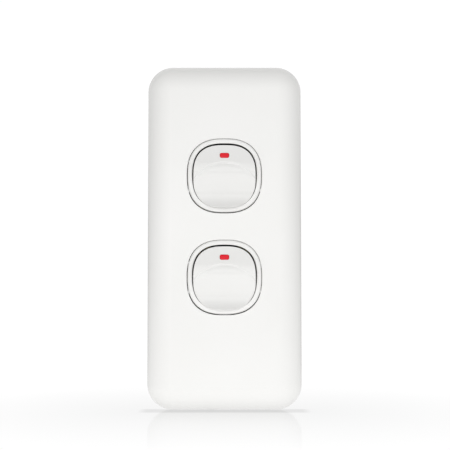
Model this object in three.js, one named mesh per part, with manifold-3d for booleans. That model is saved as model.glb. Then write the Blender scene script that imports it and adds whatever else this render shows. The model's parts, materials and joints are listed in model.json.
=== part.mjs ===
// Two-gang rocker wall switch: a clip-on cover over a grid plate that carries two switch mechanisms.
// Millimetres, +Z up. The wall is the plane y = 0, the front faces -Y, and +X is to the right.
// The origin is the cover's centre on the wall, midway between the two fixing screws.
import * as THREE from 'three';
import { mergeVertices } from 'three/addons/utils/BufferGeometryUtils.js';
import Module from 'manifold-3d';

const wasm = await Module();
wasm.setup();

// ---- Driving dimensions -------------------------------------------------------------------------

const COVER_WIDTH = 52;
const COVER_HEIGHT = 116;
const COVER_DEPTH = 9.2;
const COVER_CORNER = 8.5;
const COVER_SHOULDER = 8;
const COVER_SHOULDER_DEPTH = 5.6;
const COVER_WALL = 2;
const COVER_LIFT = 0.3;
const CLIP_WIDTH = 6;
const CLIP_THICK = 1.2;
const CLIP_BEAD = 0.45;
const CLIP_BEAD_LENGTH = 0.8;
const CLIP_ROOT = 1.2;
const CLIP_INSET = 2.6;
const CLIP_SPREAD = 30;

const GRID_DECK_THICK = 1.8;
const GRID_RIM_WALL = 1.8;
const FIXING_CENTRES = 84;
const FIXING_SLOT_LENGTH = 7;
const FIXING_BOSS_RADIUS = 5.5;
const SCREW_RADIUS = 1.75;
const SCREW_HEAD_RADIUS = 3.4;
const SCREW_HEAD_DEPTH = 2;
const SCREW_NECK_RADIUS = 2.1;
const SCREW_POINT = 1;
const SCREW_POCKET = 0.6;
const SLOT_WIDTH = 0.8;
const SLOT_DEPTH = 0.7;
const SCREW_LENGTH = 25;

const GANG_PITCH = 34;
const GANG_RAISE = 3.5;

const BEZEL_HALF = 12.12;
const BEZEL_POWER = 2.45;
const BEZEL_RIM = 1.47;
const BEZEL_OPENING_POWER = 2.75;
const BEZEL_PROUD = 0.3;
const BEZEL_ROUND = 0.5;
const BEZEL_DEPTH = 4.5;

const ROCKER_GAP = 0.3;
const ROCKER_POWER = 2.85;
const ROCKER_SWING = 6;
const ROCKER_WALL = 1.5;
const ROCKER_SKIRT = 0.9;
const FACE_TOP = 0.1;
const FACE_RIDGE = 1.35;
const FACE_PAD = 1.15;
const FACE_FOOT = 1.2;
const PAD_REACH = 0.46;
const RIDGE_RISE = 4.1;
const RIDGE_STEP = 0.3;
const BORE_FLOOR = 0.6;
const PIVOT_BEHIND_BEZEL = 2.2;
const TRUNNION_RADIUS = 1.1;
const TRUNNION_REACH = 1.15;
const POST_WIDTH = 5;
const POST_LENGTH = 7.5;
const INDICATOR_WIDTH = 3.2;
const INDICATOR_HEIGHT = 1.8;
const INDICATOR_RISE = 6.6;
const INDICATOR_LENGTH = 1.7;
const INDICATOR_CORNER = 0.6;

const PLUNGER_RADIUS = 1.25;
const PLUNGER_LENGTH = 7;
const PLUNGER_SHOWING = 4.7;
const PLUNGER_NOSE = 0.6;
const SPRING_WIRE = 0.2;
const SPRING_RADIUS = 0.85;
const SPRING_TURNS = 5;

const CASE_SIDE_INSET = 0.12;
const CASE_END_REACH = 0.58;
const CASE_WALL = 1.2;
const CASE_BACK = 1.8;
const CASE_CORNER = 2;
const BARRIER_THICK = 2;
const LATCH_REACH = 1.2;
const LATCH_HEIGHT = 6;
const LATCH_THICK = 0.7;

const BLADE_WIDTH = 4;
const BLADE_THICK = 0.8;
const BLADE_LENGTH = 14.5;
const BLADE_SWING = 5;
const BLADE_GROOVE = 0.16;
const BLADE_STOP = 0.56;
const BLADE_CORNER = 1;
const FULCRUM_WIDTH = 0.6;
const CONTACT_RADIUS = 1.4;
const CONTACT_THICK = 0.5;
const CONTACT_FACE_RADIUS = 1.1;
const CONTACT_OFFSET = 5.6;
const STRAP_THICK = 0.8;
const BLOCK_WIDTH = 6.4;
const BLOCK_DEPTH = 6.3;
const BLOCK_HEIGHT = 6.4;
const BLOCK_SIDE_MARGIN = 1.8;
const BLOCK_END_MARGIN = 0.9;
const TUNNEL_RADIUS = 1.7;
const TUNNEL_INSET = 2.3;
const TERMINAL_SCREW_RADIUS = 1.3;
const TERMINAL_HEAD_RADIUS = 2;
const TERMINAL_HEAD_DEPTH = 1.4;

// ---- Clearances ---------------------------------------------------------------------------------

const SEAT = 0.3;
const COVER_FIT = 0.4;
const BEZEL_FIT = 0.36;
const CASE_FIT = 0.3;
const TRUNNION_FIT = 0.08;
const PLUNGER_FIT = 0.1;
const SCREW_FIT = 0.2;
const CLIP_FIT = 0.45;
const INDICATOR_FIT = 0.15;
const THROUGH = 1;

// ---- Planes worked out from the sizes above (front of a piece is its lowest y) ------------------

const coverFront = -COVER_DEPTH;
const bezelFront = coverFront - BEZEL_PROUD;
const bezelBack = bezelFront + BEZEL_DEPTH;
const caseFront = bezelBack + SEAT;
const latchFront = caseFront + SEAT;
const deckFront = latchFront + LATCH_THICK + SEAT;
const deckBack = deckFront + GRID_DECK_THICK;
const pivotY = bezelFront + PIVOT_BEHIND_BEZEL;
const bezelOpening = BEZEL_HALF - BEZEL_RIM;
const rockerHalf = bezelOpening - ROCKER_GAP;
const caseWidth = 2 * (BEZEL_HALF - CASE_SIDE_INSET);
const caseHeight = 2 * (BEZEL_HALF + CASE_END_REACH);
const blockX = caseWidth / 2 - CASE_WALL - BLOCK_SIDE_MARGIN - BLOCK_WIDTH / 2;
const blockZ = caseHeight / 2 - CASE_WALL - BLOCK_END_MARGIN - BLOCK_HEIGHT / 2;
const swing = THREE.MathUtils.degToRad(ROCKER_SWING);
const bladeTilt = THREE.MathUtils.degToRad(BLADE_SWING);
const plungerTip = POST_LENGTH + PLUNGER_SHOWING;
const bladeY = pivotY + plungerTip + BLADE_THICK / 2 + SEAT;
const contactRise = CONTACT_OFFSET * Math.tan(bladeTilt);
const bladeContactBack = bladeY + BLADE_THICK / 2 + SEAT + CONTACT_THICK + contactRise;
const fixedContactFront = bladeContactBack + SEAT;
const strapFront = fixedContactFront + CONTACT_THICK + SEAT;
const strapBack = strapFront + STRAP_THICK;
const blockBack = strapBack + BLOCK_DEPTH;
const tunnelY = strapBack + TUNNEL_INSET;
const screwSeat = blockBack + SEAT;
const backWallFront = screwSeat + TERMINAL_HEAD_DEPTH;
const caseBack = backWallFront + CASE_BACK;
const fixingZ = FIXING_CENTRES / 2;

// ---- Materials ----------------------------------------------------------------------------------

function finish(color, roughness, metalness = 0) {
  return new THREE.MeshStandardMaterial({ color, roughness, metalness });
}

const glossWhite = finish(0xf2f2ef, 0.22);
const mouldedGrey = finish(0xc9c9c4, 0.55);
const insulatorBlack = finish(0x1b1b1d, 0.6);
const redLens = finish(0xe8283c, 0.3);
const brass = finish(0xc8a24b, 0.35, 1);
const silverAlloy = finish(0xc9c9cc, 0.25, 1);
const platedSteel = finish(0xa9abb0, 0.35, 1);
const springSteel = finish(0x8f9196, 0.3, 1);
const nylon = finish(0xe4e0d2, 0.5);

// ---- Solids: three.js shapes in, joined and cut, and three.js geometry out ----------------------

function solid(geometry) {
  const bare = geometry.index ? geometry.toNonIndexed() : geometry.clone();
  bare.deleteAttribute('normal');
  bare.deleteAttribute('uv');
  const merged = mergeVertices(bare, 1e-3);
  const mesh = new wasm.Mesh({
    numProp: 3,
    vertProperties: new Float32Array(merged.attributes.position.array),
    triVerts: new Uint32Array(merged.index.array),
  });
  return new wasm.Manifold(mesh);
}

function geometryOf(manifold) {
  const { vertProperties, triVerts } = manifold.getMesh();
  const geometry = new THREE.BufferGeometry();
  geometry.setAttribute('position', new THREE.BufferAttribute(new Float32Array(vertProperties), 3));
  geometry.setIndex(new THREE.BufferAttribute(new Uint32Array(triVerts), 1));
  return geometry;
}

function join(...solids) {
  return solids.reduce((whole, piece) => whole.add(piece));
}

function cut(body, ...tools) {
  return tools.reduce((rest, tool) => rest.subtract(tool), body);
}

// ---- Outlines, drawn in the plane of the wall: shape x is +X, shape y is +Z ---------------------

function squircle(half, power, steps = 44) {
  const points = [];
  for (let i = 0; i < steps; i += 1) {
    const angle = (i / steps) * 2 * Math.PI;
    const c = Math.cos(angle);
    const s = Math.sin(angle);
    const reach = half / (Math.abs(c) ** power + Math.abs(s) ** power) ** (1 / power);
    points.push(new THREE.Vector2(reach * c, reach * s));
  }
  return new THREE.Shape(points);
}

function roundedRectangle(width, height, radius) {
  const x = width / 2;
  const z = height / 2;
  const r = Math.min(radius, x, z);
  const shape = new THREE.Shape();
  shape.moveTo(x, -z + r);
  shape.lineTo(x, z - r);
  shape.absarc(x - r, z - r, r, 0, Math.PI / 2, false);
  shape.lineTo(-x + r, z);
  shape.absarc(-x + r, z - r, r, Math.PI / 2, Math.PI, false);
  shape.lineTo(-x, -z + r);
  shape.absarc(-x + r, -z + r, r, Math.PI, 1.5 * Math.PI, false);
  shape.lineTo(x - r, -z);
  shape.absarc(x - r, -z + r, r, 1.5 * Math.PI, 2 * Math.PI, false);
  return shape;
}

// Extrudes an outline along Y, from yFront to yBack.
function slab(shape, yFront, yBack, curveSegments = 6) {
  const depth = yBack - yFront;
  const geometry = new THREE.ExtrudeGeometry(shape, { depth, bevelEnabled: false, curveSegments });
  geometry.rotateX(Math.PI / 2);
  geometry.translate(0, yBack, 0);
  return solid(geometry);
}

// A slab whose front edge is a quarter ellipse, wide along the wall and deep along Y. The outline
// given is the flat part of the front, and the round runs out from it.
function crownedSlab(shape, yFront, yBack, width, depth, segments) {
  const geometry = new THREE.ExtrudeGeometry(shape, {
    depth: yBack - yFront - depth + THROUGH,
    bevelEnabled: true,
    bevelThickness: depth,
    bevelSize: width,
    bevelSegments: segments,
    curveSegments: 6,
  });
  geometry.rotateX(Math.PI / 2);
  geometry.translate(0, yBack + THROUGH, 0);
  const behind = 2 * Math.max(COVER_WIDTH, COVER_HEIGHT);
  const far = box([-behind, behind], [yBack, yBack + behind], [-behind, behind]);
  return cut(solid(geometry), far);
}

// Two coordinates as an interval, the lower one first.
function span(a, b) {
  return [Math.min(a, b), Math.max(a, b)];
}

function box([x0, x1], [y0, y1], [z0, z1]) {
  const geometry = new THREE.BoxGeometry(x1 - x0, y1 - y0, z1 - z0);
  geometry.translate((x0 + x1) / 2, (y0 + y1) / 2, (z0 + z1) / 2);
  return solid(geometry);
}

// A round bar along one axis, from one coordinate to another, its centre line at the two others.
function barY(x, z, radius, y0, y1, endRadius = radius, sides = 16) {
  const geometry = new THREE.CylinderGeometry(endRadius, radius, y1 - y0, sides);
  geometry.translate(x, (y0 + y1) / 2, z);
  return solid(geometry);
}

function barZ(x, y, radius, z0, z1, sides = 14) {
  const geometry = new THREE.CylinderGeometry(radius, radius, z1 - z0, sides);
  geometry.rotateX(Math.PI / 2);
  geometry.translate(x, y, (z0 + z1) / 2);
  return solid(geometry);
}

function barX(y, z, radius, x0, x1, sides = 20) {
  const geometry = new THREE.CylinderGeometry(radius, radius, x1 - x0, sides);
  geometry.rotateZ(Math.PI / 2);
  geometry.translate((x0 + x1) / 2, y, z);
  return solid(geometry);
}

// Extrudes a side view along X, to the same reach on both sides: shape x is +Y, shape y is +Z.
function prismX(shape, reach) {
  const geometry = new THREE.ExtrudeGeometry(shape, {
    depth: 2 * reach, bevelEnabled: false, curveSegments: 6,
  });
  const toX = new THREE.Matrix4().makeBasis(
    new THREE.Vector3(0, 1, 0), new THREE.Vector3(0, 0, 1), new THREE.Vector3(1, 0, 0),
  );
  geometry.applyMatrix4(toX);
  geometry.translate(-reach, 0, 0);
  return solid(geometry);
}

// Turns a solid about an X axis through (y, z); a positive angle carries +Y towards +Z.
function turnX(body, angle, y, z) {
  const degrees = THREE.MathUtils.radToDeg(angle);
  return body.translate([0, -y, -z]).rotate([degrees, 0, 0]).translate([0, y, z]);
}

// ---- The object ---------------------------------------------------------------------------------

const wallSwitch = new THREE.Group();
wallSwitch.name = 'rocker_wall_switch';

function place(name, body, material, parent = wallSwitch) {
  const mesh = new THREE.Mesh(geometryOf(body), material);
  mesh.name = name;
  parent.add(mesh);
}

const gangCentres = [
  { suffix: 'upper', z: GANG_RAISE + GANG_PITCH / 2 },
  { suffix: 'lower', z: GANG_RAISE - GANG_PITCH / 2 },
];

const clipX = COVER_WIDTH / 2 - COVER_WALL - CLIP_INSET;
const clipPlaces = [-1, 1].flatMap((side) => [-1, 1].map((end) => ({
  side,
  x: side * clipX,
  z: GANG_RAISE + end * CLIP_SPREAD,
})));

// Clip-on cover: a pillow-shaped shell with two openings and four clip arms that reach through
// the grid plate's deck.
function coverPlate() {
  const flatX = COVER_WIDTH - 2 * COVER_SHOULDER;
  const flatZ = COVER_HEIGHT - 2 * COVER_SHOULDER;
  const flatCorner = COVER_CORNER - COVER_SHOULDER;
  const front = roundedRectangle(flatX, flatZ, flatCorner);
  const shell = crownedSlab(
    front, coverFront, -COVER_LIFT, COVER_SHOULDER, COVER_SHOULDER_DEPTH, 6,
  );
  const hollow = crownedSlab(
    front,
    coverFront + COVER_WALL,
    0,
    COVER_SHOULDER - COVER_WALL,
    COVER_SHOULDER_DEPTH - COVER_WALL / 2,
    4,
  );
  const openings = gangCentres.map(({ z }) => (
    slab(squircle(BEZEL_HALF + BEZEL_FIT, BEZEL_POWER), coverFront - THROUGH, 0).translate([0, 0, z])
  ));
  const rootY = coverFront + CLIP_ROOT;
  const clips = clipPlaces.map(({ side, x, z }) => {
    const zs = [z - CLIP_WIDTH / 2, z + CLIP_WIDTH / 2];
    const inner = x - side * (CLIP_THICK / 2);
    const outer = x + side * (CLIP_THICK / 2);
    const arm = box(span(inner, outer), [rootY, -COVER_LIFT], zs);
    const tip = outer + side * CLIP_BEAD;
    const bead = box(
      span(inner, tip),
      [-COVER_LIFT - CLIP_BEAD_LENGTH, -COVER_LIFT],
      zs,
    );
    return join(arm, bead);
  });
  return join(cut(shell, hollow, ...openings), ...clips);
}

// Grid plate: the moulded frame that is screwed to the wall box. Its deck holds the mechanisms and
// its rim stands on the wall.
function gridPlate() {
  const width = COVER_WIDTH - 2 * (COVER_WALL + COVER_FIT);
  const height = COVER_HEIGHT - 2 * (COVER_WALL + COVER_FIT);
  const corner = COVER_CORNER - COVER_WALL - COVER_FIT;
  const outline = slab(roundedRectangle(width, height, corner), deckFront, 0);
  const underside = slab(
    roundedRectangle(
      width - 2 * GRID_RIM_WALL, height - 2 * GRID_RIM_WALL, corner - GRID_RIM_WALL,
    ),
    deckBack,
    THROUGH,
  );
  const bosses = [-1, 1].map((end) => (
    barY(0, end * fixingZ, FIXING_BOSS_RADIUS, deckBack - THROUGH / 2, 0, FIXING_BOSS_RADIUS, 24)
  ));
  const windows = gangCentres.map(({ z }) => slab(
    roundedRectangle(caseWidth + 2 * CASE_FIT, caseHeight + 2 * CASE_FIT, CASE_CORNER),
    deckFront - THROUGH,
    THROUGH,
  ).translate([0, 0, z]));
  const slots = [-1, 1].flatMap((end) => {
    const shank = SCREW_RADIUS + SCREW_FIT;
    const spread = (FIXING_SLOT_LENGTH - 2 * shank) / 2;
    const span = [-spread, spread];
    const zs = [end * fixingZ - shank, end * fixingZ + shank];
    const headRoom = SCREW_HEAD_RADIUS + SEAT;
    const pocket = slab(
      roundedRectangle(2 * (spread + headRoom), 2 * headRoom, headRoom),
      deckFront - THROUGH,
      deckFront + SCREW_POCKET,
    ).translate([0, 0, end * fixingZ]);
    const ends = span.map((x) => barY(x, end * fixingZ, shank, deckFront - THROUGH, THROUGH));
    return [box(span, [deckFront - THROUGH, THROUGH], zs), ...ends, pocket];
  });
  const clipHoles = clipPlaces.map(({ side, x, z }) => {
    const centre = x + side * (CLIP_BEAD / 2);
    const half = (CLIP_THICK + CLIP_BEAD) / 2 + CLIP_FIT;
    const zHalf = CLIP_WIDTH / 2 + CLIP_FIT;
    return box([centre - half, centre + half], [deckFront - THROUGH, THROUGH],
      [z - zHalf, z + zHalf]);
  });
  const frame = join(cut(outline, underside), ...bosses).intersect(outline);
  return cut(frame, ...windows, ...slots, ...clipHoles);
}

// Countersunk machine screw, its head to the front, with a straight slot.
function fixingScrew(z) {
  const headBack = deckFront + SCREW_POCKET - SEAT;
  const headFront = headBack - SCREW_HEAD_DEPTH;
  const end = headFront + SCREW_LENGTH;
  const head = barY(0, z, SCREW_HEAD_RADIUS, headFront, headBack, SCREW_NECK_RADIUS);
  const shank = barY(0, z, SCREW_RADIUS, headBack - SEAT, end - SCREW_POINT);
  const point = barY(0, z, SCREW_RADIUS, end - SCREW_POINT, end, SCREW_RADIUS - SCREW_POINT / 2);
  const slot = box([-SCREW_HEAD_RADIUS - THROUGH, SCREW_HEAD_RADIUS + THROUGH],
    [headFront - THROUGH, headFront + SLOT_DEPTH], [z - SLOT_WIDTH / 2, z + SLOT_WIDTH / 2]);
  return cut(join(head, shank, point), slot);
}

// Mechanism case: a deep insulating box, open at the front, with barriers between its terminals.
function mechanismCase() {
  const outer = slab(roundedRectangle(caseWidth, caseHeight, CASE_CORNER), caseFront, caseBack);
  const inner = slab(
    roundedRectangle(caseWidth - 2 * CASE_WALL, caseHeight - 2 * CASE_WALL,
      CASE_CORNER - CASE_WALL),
    caseFront - THROUGH,
    backWallFront,
  );
  const reachX = caseWidth / 2 - CASE_WALL / 2;
  const reachZ = caseHeight / 2 - CASE_WALL / 2;
  const half = BARRIER_THICK / 2;
  const barriers = [
    box([-half, half], [strapBack + SEAT, caseBack - CASE_BACK / 2], [-reachZ, reachZ]),
    box([-reachX, reachX], [strapBack + SEAT, caseBack - CASE_BACK / 2], [-half, half]),
  ];
  const latches = [-1, 1].flatMap((side) => {
    const inside = side * (caseWidth / 2 - CASE_WALL / 2);
    const tip = side * (caseWidth / 2 + LATCH_REACH);
    const xs = span(inside, tip);
    const zs = [-LATCH_HEIGHT / 2, LATCH_HEIGHT / 2];
    return [
      box(xs, [latchFront, latchFront + LATCH_THICK], zs),
      box(xs, [deckBack + SEAT, deckBack + SEAT + LATCH_THICK], zs),
    ];
  });
  const access = terminalPlaces.map(({ x, z }) => (
    barY(x, z, TERMINAL_HEAD_RADIUS + 2 * SEAT, backWallFront - THROUGH / 2, caseBack + THROUGH)
  ));
  const ports = terminalPlaces.map(({ x, z }) => {
    const end = Math.sign(z) * (caseHeight / 2);
    const depth = THROUGH + CASE_WALL;
    return barZ(x, tunnelY, TUNNEL_RADIUS + SEAT, end - depth, end + depth);
  });
  return cut(join(cut(outer, inner), ...barriers, ...latches), ...access, ...ports);
}

// Bezel: the rounded-square ring round the rocker, crowned at the front, with a blind bearing for
// each trunnion and four legs that stand inside the case.
function bezel() {
  const crest = squircle(BEZEL_HALF - BEZEL_ROUND, BEZEL_POWER);
  const ring = crownedSlab(crest, bezelFront, bezelBack, BEZEL_ROUND, BEZEL_ROUND, 3);
  const opening = slab(
    squircle(bezelOpening, BEZEL_OPENING_POWER), bezelFront - THROUGH, bezelBack + THROUGH,
  );
  const lead = crownedOpening();
  const bearings = [-1, 1].map((side) => {
    const near = side * (bezelOpening - THROUGH);
    const far = side * (rockerHalf + TRUNNION_REACH + SEAT);
    return barX(pivotY, 0, TRUNNION_RADIUS + TRUNNION_FIT, ...span(near, far));
  });
  const legHalf = CASE_WALL;
  const legZ = caseHeight / 2 - CASE_WALL - SEAT;
  const legInner = bezelOpening - ROCKER_GAP - TRUNNION_FIT;
  const legs = [-1, 1].flatMap((end) => [-1, 1].map((side) => {
    const outer = end * legZ;
    const inner = end * legInner;
    const x = side * POST_WIDTH;
    return box([x - legHalf, x + legHalf], [bezelBack - SEAT, caseFront + 2],
      span(outer, inner));
  }));
  return join(cut(ring, opening, lead, ...bearings), ...legs);
}

// The small lead-in round the bezel's opening.
function crownedOpening() {
  const shape = squircle(bezelOpening, BEZEL_OPENING_POWER);
  const geometry = new THREE.ExtrudeGeometry(shape, {
    depth: THROUGH,
    bevelEnabled: true,
    bevelThickness: BEZEL_ROUND,
    bevelSize: BEZEL_ROUND,
    bevelSegments: 1,
    curveSegments: 4,
  });
  geometry.rotateX(Math.PI / 2);
  geometry.translate(0, bezelFront, 0);
  return solid(geometry);
}

// The rocker's face seen from the side, in the pressed position: shape x is +Y and shape y is +Z,
// both from the pivot. The foot of the curve runs in under the bezel.
function rockerProfile() {
  const lip = -PIVOT_BEHIND_BEZEL;
  const top = rockerHalf + THROUGH;
  const edge = rockerHalf - ROCKER_GAP;
  const shape = new THREE.Shape();
  shape.moveTo(POST_LENGTH, top);
  shape.lineTo(lip - FACE_TOP, top);
  shape.lineTo(lip - FACE_TOP, edge);
  shape.lineTo(lip - FACE_RIDGE, RIDGE_RISE);
  shape.lineTo(lip - FACE_PAD, RIDGE_RISE - RIDGE_STEP);
  shape.lineTo(lip - FACE_PAD - RIDGE_STEP / 2, 0);
  shape.lineTo(lip - FACE_PAD, -edge * PAD_REACH);
  shape.quadraticCurveTo(lip - FACE_PAD * 0.8, -edge * 0.8, lip + FACE_FOOT, -edge);
  shape.lineTo(lip + FACE_FOOT, -top);
  shape.lineTo(POST_LENGTH, -top);
  return shape;
}

function turnPressed(body) {
  return turnX(body, swing, pivotY, 0);
}

// The indicator's outline as a prism square to the rocker's upper facet.
function indicatorPrism(growth, front, back) {
  const slope = Math.atan2(FACE_RIDGE - FACE_TOP, rockerHalf - ROCKER_GAP - RIDGE_RISE);
  const along = (INDICATOR_RISE - RIDGE_RISE) * Math.tan(slope);
  const faceY = bezelFront - FACE_RIDGE + along;
  const outline = roundedRectangle(
    INDICATOR_WIDTH + 2 * growth, INDICATOR_HEIGHT + 2 * growth, INDICATOR_CORNER + growth,
  );
  const prism = slab(outline, faceY + front, faceY + back, 4);
  return turnX(prism.translate([0, 0, INDICATOR_RISE]), -slope, faceY, INDICATOR_RISE);
}

// Rocker: a rounded-square cap with a stepped face, a hollow back, a trunnion on each side and a
// bored post for the spring and plunger.
function rocker() {
  const block = slab(squircle(rockerHalf, ROCKER_POWER), bezelFront - ROCKER_WALL - THROUGH,
    pivotY + ROCKER_SKIRT);
  const hollow = slab(squircle(rockerHalf - ROCKER_WALL, ROCKER_POWER), pivotY,
    pivotY + ROCKER_SKIRT + THROUGH);
  const face = prismX(rockerProfile(), rockerHalf + THROUGH).translate([0, pivotY, 0]);
  const cap = turnPressed(cut(block, hollow)).intersect(face);
  const trunnions = [-1, 1].map((side) => {
    const near = side * (rockerHalf - ROCKER_WALL * 0.9);
    const far = side * (rockerHalf + TRUNNION_REACH);
    return barX(pivotY, 0, TRUNNION_RADIUS, ...span(near, far));
  });
  const half = POST_WIDTH / 2;
  const post = box([-half, half], [pivotY - THROUGH / 2, pivotY + POST_LENGTH], [-half, half]);
  const rib = box([-rockerHalf + ROCKER_WALL / 2, rockerHalf - ROCKER_WALL / 2],
    [pivotY - THROUGH / 2, pivotY + ROCKER_SKIRT], [-ROCKER_WALL / 2, ROCKER_WALL / 2]);
  const bore = barY(0, 0, PLUNGER_RADIUS + PLUNGER_FIT, pivotY + BORE_FLOOR,
    pivotY + POST_LENGTH + THROUGH);
  const frame = turnPressed(cut(join(post, rib), bore));
  const pocket = indicatorPrism(INDICATOR_FIT, -THROUGH, INDICATOR_LENGTH + SEAT);
  return cut(join(cut(cap, turnPressed(bore)), turnPressed(join(...trunnions)), frame), pocket);
}

function indicator() {
  return indicatorPrism(0, 0, INDICATOR_LENGTH);
}

// Plunger: a nylon pin that slides in the rocker's post, with a blunt tip that strokes the blade.
function plunger() {
  const tip = pivotY + plungerTip;
  const shoulder = tip - PLUNGER_NOSE;
  const stem = barY(0, 0, PLUNGER_RADIUS, tip - PLUNGER_LENGTH, shoulder);
  const nose = barY(0, 0, PLUNGER_RADIUS, shoulder, tip, PLUNGER_RADIUS / 2);
  return turnPressed(join(stem, nose));
}

// Spring: a helix between the bore's floor and the plunger.
class Helix extends THREE.Curve {
  constructor(radius, turns, y0, y1) {
    super();
    Object.assign(this, { radius, turns, y0, y1 });
  }

  getPoint(t, target = new THREE.Vector3()) {
    const angle = t * this.turns * 2 * Math.PI;
    const y = this.y0 + t * (this.y1 - this.y0);
    return target.set(this.radius * Math.cos(angle), y, this.radius * Math.sin(angle));
  }
}

function plungerSpring() {
  const start = pivotY + BORE_FLOOR + SEAT + SPRING_WIRE;
  const end = pivotY + plungerTip - PLUNGER_LENGTH - SEAT - SPRING_WIRE;
  const section = new THREE.Shape();
  section.absarc(0, 0, SPRING_WIRE, 0, 2 * Math.PI, false);
  const geometry = new THREE.ExtrudeGeometry(section, {
    steps: SPRING_TURNS * 9,
    curveSegments: 5,
    extrudePath: new Helix(SPRING_RADIUS, SPRING_TURNS, start, end),
  });
  return turnPressed(solid(geometry));
}

// Blade: the see-saw contact arm, tilted to the made position, with a groove over the fulcrum.
function turnMade(body) {
  return turnX(body, -bladeTilt, bladeY, 0);
}

function blade() {
  const reach = BLADE_LENGTH / 2;
  const half = BLADE_THICK / 2;
  const outline = roundedRectangle(BLADE_WIDTH, BLADE_LENGTH, BLADE_CORNER);
  const strip = slab(outline, bladeY - half, bladeY + half, 3);
  const groove = box([-BLADE_WIDTH, BLADE_WIDTH], [bladeY + half - BLADE_GROOVE, bladeY + BLADE_THICK],
    [-FULCRUM_WIDTH, FULCRUM_WIDTH]);
  const stops = [-1, 1].map((end) => {
    const stop = span(end * (reach - BLADE_STOP), end * reach);
    return box([-BLADE_WIDTH / 3, BLADE_WIDTH / 3], [bladeY - BLADE_THICK, bladeY], stop);
  });
  return turnMade(join(cut(strip, groove), ...stops));
}

function bladeContact(end) {
  const front = bladeY + BLADE_THICK / 2 + SEAT;
  return turnMade(barY(0, end * CONTACT_OFFSET, CONTACT_RADIUS, front, front + CONTACT_THICK,
    CONTACT_FACE_RADIUS));
}

function fixedContact(end) {
  const back = fixedContactFront + CONTACT_THICK;
  return barY(0, end * CONTACT_OFFSET, CONTACT_FACE_RADIUS, fixedContactFront, back,
    CONTACT_RADIUS);
}

// Terminals: a bored clamping block on a strap that leads to a contact or to the fulcrum.
const terminalPlaces = [
  { name: 'terminal_1', x: blockX, z: blockZ },
  { name: 'terminal_2', x: blockX, z: -blockZ },
  { name: 'common_terminal', x: -blockX, z: -blockZ },
  { name: 'loop_terminal', x: -blockX, z: blockZ },
];

function terminalBlock({ x, z }) {
  const reach = BLOCK_HEIGHT / 2 + THROUGH;
  const block = box([x - BLOCK_WIDTH / 2, x + BLOCK_WIDTH / 2], [strapFront, blockBack],
    [z - BLOCK_HEIGHT / 2, z + BLOCK_HEIGHT / 2]);
  const tunnel = barZ(x, tunnelY, TUNNEL_RADIUS, z - reach, z + reach);
  const thread = barY(x, z, TERMINAL_SCREW_RADIUS + SCREW_FIT, tunnelY, blockBack + THROUGH);
  return cut(block, tunnel, thread);
}

function contactTerminal(placeOf) {
  const { x, z } = placeOf;
  const end = Math.sign(z);
  const strap = box(span(-CONTACT_RADIUS - SEAT, x), [strapFront, strapBack],
    span(z, end * (CONTACT_OFFSET - CONTACT_RADIUS - SEAT)));
  return join(terminalBlock(placeOf), strap);
}

function commonTerminal(placeOf) {
  const { x, z } = placeOf;
  const half = CONTACT_RADIUS + SEAT;
  const riser = box([x - BLOCK_WIDTH / 2, x + BLOCK_WIDTH / 2], [strapFront, strapBack], [z, half]);
  const foot = box([x, half], [strapFront, strapBack], [-half, half]);
  const fulcrumFront = bladeY + BLADE_THICK / 2 + SEAT;
  const fulcrum = box([-half, half], [fulcrumFront, strapBack],
    [-FULCRUM_WIDTH / 2, FULCRUM_WIDTH / 2]);
  return join(terminalBlock(placeOf), riser, foot, fulcrum);
}

function terminalScrew({ x, z }) {
  const headBack = screwSeat + TERMINAL_HEAD_DEPTH;
  const head = barY(x, z, TERMINAL_HEAD_RADIUS, screwSeat, headBack);
  const shank = barY(x, z, TERMINAL_SCREW_RADIUS, tunnelY + SEAT, screwSeat + SEAT,
    TERMINAL_SCREW_RADIUS, 12);
  const reach = TERMINAL_HEAD_RADIUS + THROUGH;
  const slot = box([x - reach, x + reach],
    [headBack - SLOT_DEPTH, headBack + THROUGH], [z - SLOT_WIDTH / 2, z + SLOT_WIDTH / 2]);
  return cut(join(head, shank), slot);
}

// ---- Assembly -----------------------------------------------------------------------------------

place('cover_plate', coverPlate(), glossWhite);
place('grid_plate', gridPlate(), mouldedGrey);
place('fixing_screw_top', fixingScrew(fixingZ), platedSteel);
place('fixing_screw_bottom', fixingScrew(-fixingZ), platedSteel);

gangCentres.forEach(({ suffix, z }) => {
  const gang = new THREE.Group();
  gang.name = `mechanism_${suffix}`;
  gang.position.z = z;
  wallSwitch.add(gang);
  const add = (name, body, material) => place(`${name}_${suffix}`, body, material, gang);
  add('case', mechanismCase(), insulatorBlack);
  add('bezel', bezel(), glossWhite);
  add('rocker', rocker(), glossWhite);
  add('indicator', indicator(), redLens);
  add('plunger', plunger(), nylon);
  add('plunger_spring', plungerSpring(), springSteel);
  add('blade', blade(), brass);
  add('blade_contact_1', bladeContact(1), silverAlloy);
  add('blade_contact_2', bladeContact(-1), silverAlloy);
  add('fixed_contact_1', fixedContact(1), silverAlloy);
  add('fixed_contact_2', fixedContact(-1), silverAlloy);
  const [first, second, common, loop] = terminalPlaces;
  add(first.name, contactTerminal(first), brass);
  add(second.name, contactTerminal(second), brass);
  add(common.name, commonTerminal(common), brass);
  add(loop.name, terminalBlock(loop), brass);
  terminalPlaces.forEach((terminal, i) => {
    add(`terminal_screw_${i + 1}`, terminalScrew(terminal), platedSteel);
  });
});

export default wallSwitch;
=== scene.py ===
"""Looks for a two-gang rocker wall switch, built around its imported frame.

Lengths are written in millimetres and turned to metres by ``mm``. The wall is the plane y = 0, the
front faces -Y, +Z is up and +X is to the right seen from the front.
"""

import json
import logging
import math
from contextlib import contextmanager
from dataclasses import dataclass
from enum import Enum
from typing import Callable, Iterator, Sequence

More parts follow.
